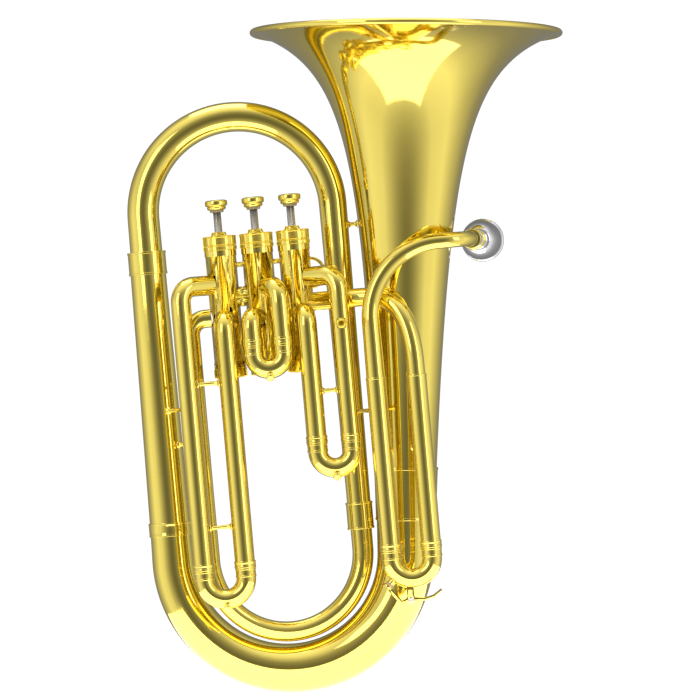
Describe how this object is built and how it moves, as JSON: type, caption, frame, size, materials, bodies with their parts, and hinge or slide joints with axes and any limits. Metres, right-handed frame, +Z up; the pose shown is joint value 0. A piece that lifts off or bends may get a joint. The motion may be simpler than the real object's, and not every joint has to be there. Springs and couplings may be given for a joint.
{
  "type": "euphonium",
  "caption": "Upright-bell brass euphonium with piston valves, drawn tuning slides, a water key and a silver mouthpiece.",
  "frame": {"origin": "lowest point of the bottom bow, where a stand's cradle holds it", "axes": "+Z up along the valves, +X from the valves towards the bell, +Y towards the player, the way the mouthpiece points"},
  "size_m": [0.4066, 0.2794, 0.5932],
  "materials": {
    "lacquered_brass": "polished, clear yellow lacquer",
    "silver_plate": "polished silver plate",
    "piston_plating": "honed nickel plate",
    "stem_steel": "fine turned steel",
    "spring_steel": "drawn wire",
    "felt": "pressed wool felt",
    "cork": "natural cork"
  },
  "bodies": {
    "instrument": {"bell": "lacquered_brass", "bell_rim_wire": "spring_steel", "bell_ferrule": "lacquered_brass", "bottom_bow": "lacquered_brass", "left_foot_ferrule": "lacquered_brass", "left_branch": "lacquered_brass", "left_top_ferrule": "lacquered_brass", "top_bow": "lacquered_brass", "right_ferrule": "lacquered_brass", "inner_bow": "lacquered_brass", "exit_tube": "lacquered_brass", "valve_casing_1": "lacquered_brass", "valve_casing_2": "lacquered_brass", "valve_casing_3": "lacquered_brass", "top_cap_1": "lacquered_brass", "top_cap_2": "lacquered_brass", "top_cap_3": "lacquered_brass", "bottom_cap_1": "lacquered_brass", "bottom_cap_2": "lacquered_brass", "bottom_cap_3": "lacquered_brass", "spring_1": "spring_steel", "spring_2": "spring_steel", "spring_3": "spring_steel", "valve_knuckles": "lacquered_brass", "slide_1_legs": "lacquered_brass", "slide_2_legs": "lacquered_brass", "slide_3_legs": "lacquered_brass", "leadpipe": "lacquered_brass", "mouthpiece_receiver": "lacquered_brass", "valve_feed_tube": "lacquered_brass", "main_slide_legs": "lacquered_brass", "finger_ring": "lacquered_brass", "braces": "lacquered_brass", "lyre_socket": "lacquered_brass"},
    "piston_1": {"piston_1": "piston_plating", "stem_1": "stem_steel", "button_1": "lacquered_brass", "felt_1": "felt"},
    "piston_2": {"piston_2": "piston_plating", "stem_2": "stem_steel", "button_2": "lacquered_brass", "felt_2": "felt"},
    "piston_3": {"piston_3": "piston_plating", "stem_3": "stem_steel", "button_3": "lacquered_brass", "felt_3": "felt"},
    "slide_1": {"slide_1_crook": "lacquered_brass", "slide_1_knob": "lacquered_brass"},
    "slide_2": {"slide_2_crook": "lacquered_brass", "slide_2_knob": "lacquered_brass"},
    "slide_3": {"slide_3_crook": "lacquered_brass", "slide_3_knob": "lacquered_brass"},
    "main_slide": {"main_slide_crook": "lacquered_brass", "water_key_saddle": "lacquered_brass", "water_key_screw": "stem_steel", "water_key_spring": "spring_steel"},
    "water_key": {"water_key_lever": "lacquered_brass", "water_key_cork": "cork"},
    "mouthpiece": {"mouthpiece": "silver_plate"},
    "lyre_screw": {"lyre_screw": "lacquered_brass"}
  },
  "joints": [
    {"name": "press_valve_1", "type": "slide", "parent": "instrument", "child": "piston_1", "axis": [0, 0, -1], "range_m": [0, 0.016], "stiffness_N_per_m": 150, "springref_m": -0.012, "deforming": ["spring_1"]},
    {"name": "press_valve_2", "type": "slide", "parent": "instrument", "child": "piston_2", "axis": [0, 0, -1], "range_m": [0, 0.016], "stiffness_N_per_m": 150, "springref_m": -0.012, "deforming": ["spring_2"]},
    {"name": "press_valve_3", "type": "slide", "parent": "instrument", "child": "piston_3", "axis": [0, 0, -1], "range_m": [0, 0.016], "stiffness_N_per_m": 150, "springref_m": -0.012, "deforming": ["spring_3"]},
    {"name": "draw_slide_1", "type": "slide", "parent": "instrument", "child": "slide_1", "axis": [0, 0, -1], "range_m": [0, 0.045]},
    {"name": "draw_slide_2", "type": "slide", "parent": "instrument", "child": "slide_2", "axis": [0, 0, -1], "range_m": [0, 0.009]},
    {"name": "draw_slide_3", "type": "slide", "parent": "instrument", "child": "slide_3", "axis": [0, 0, -1], "range_m": [0, 0.08]},
    {"name": "draw_main_slide", "type": "slide", "parent": "instrument", "child": "main_slide", "axis": [0, 0, -1], "range_m": [0, 0.06]},
    {"name": "open_water_key", "type": "hinge", "parent": "main_slide", "child": "water_key", "pos_m": [0.10502, -0.05605, 0.07795], "axis": [0, -1, 0], "range_deg": [0, 15], "stiffness_Nm_per_rad": 0.05, "springref_deg": -20.05},
    {"name": "pull_mouthpiece", "type": "slide", "parent": "instrument", "child": "mouthpiece", "axis": [0.1392, 0.9903, 0], "range_m": [0, 0.03]},
    {"name": "turn_lyre_screw", "type": "hinge", "parent": "instrument", "child": "lyre_screw", "pos_m": [0.065, -0.06005, 0.32527], "axis": [0, -1, 0], "continuous": true}
  ]
}
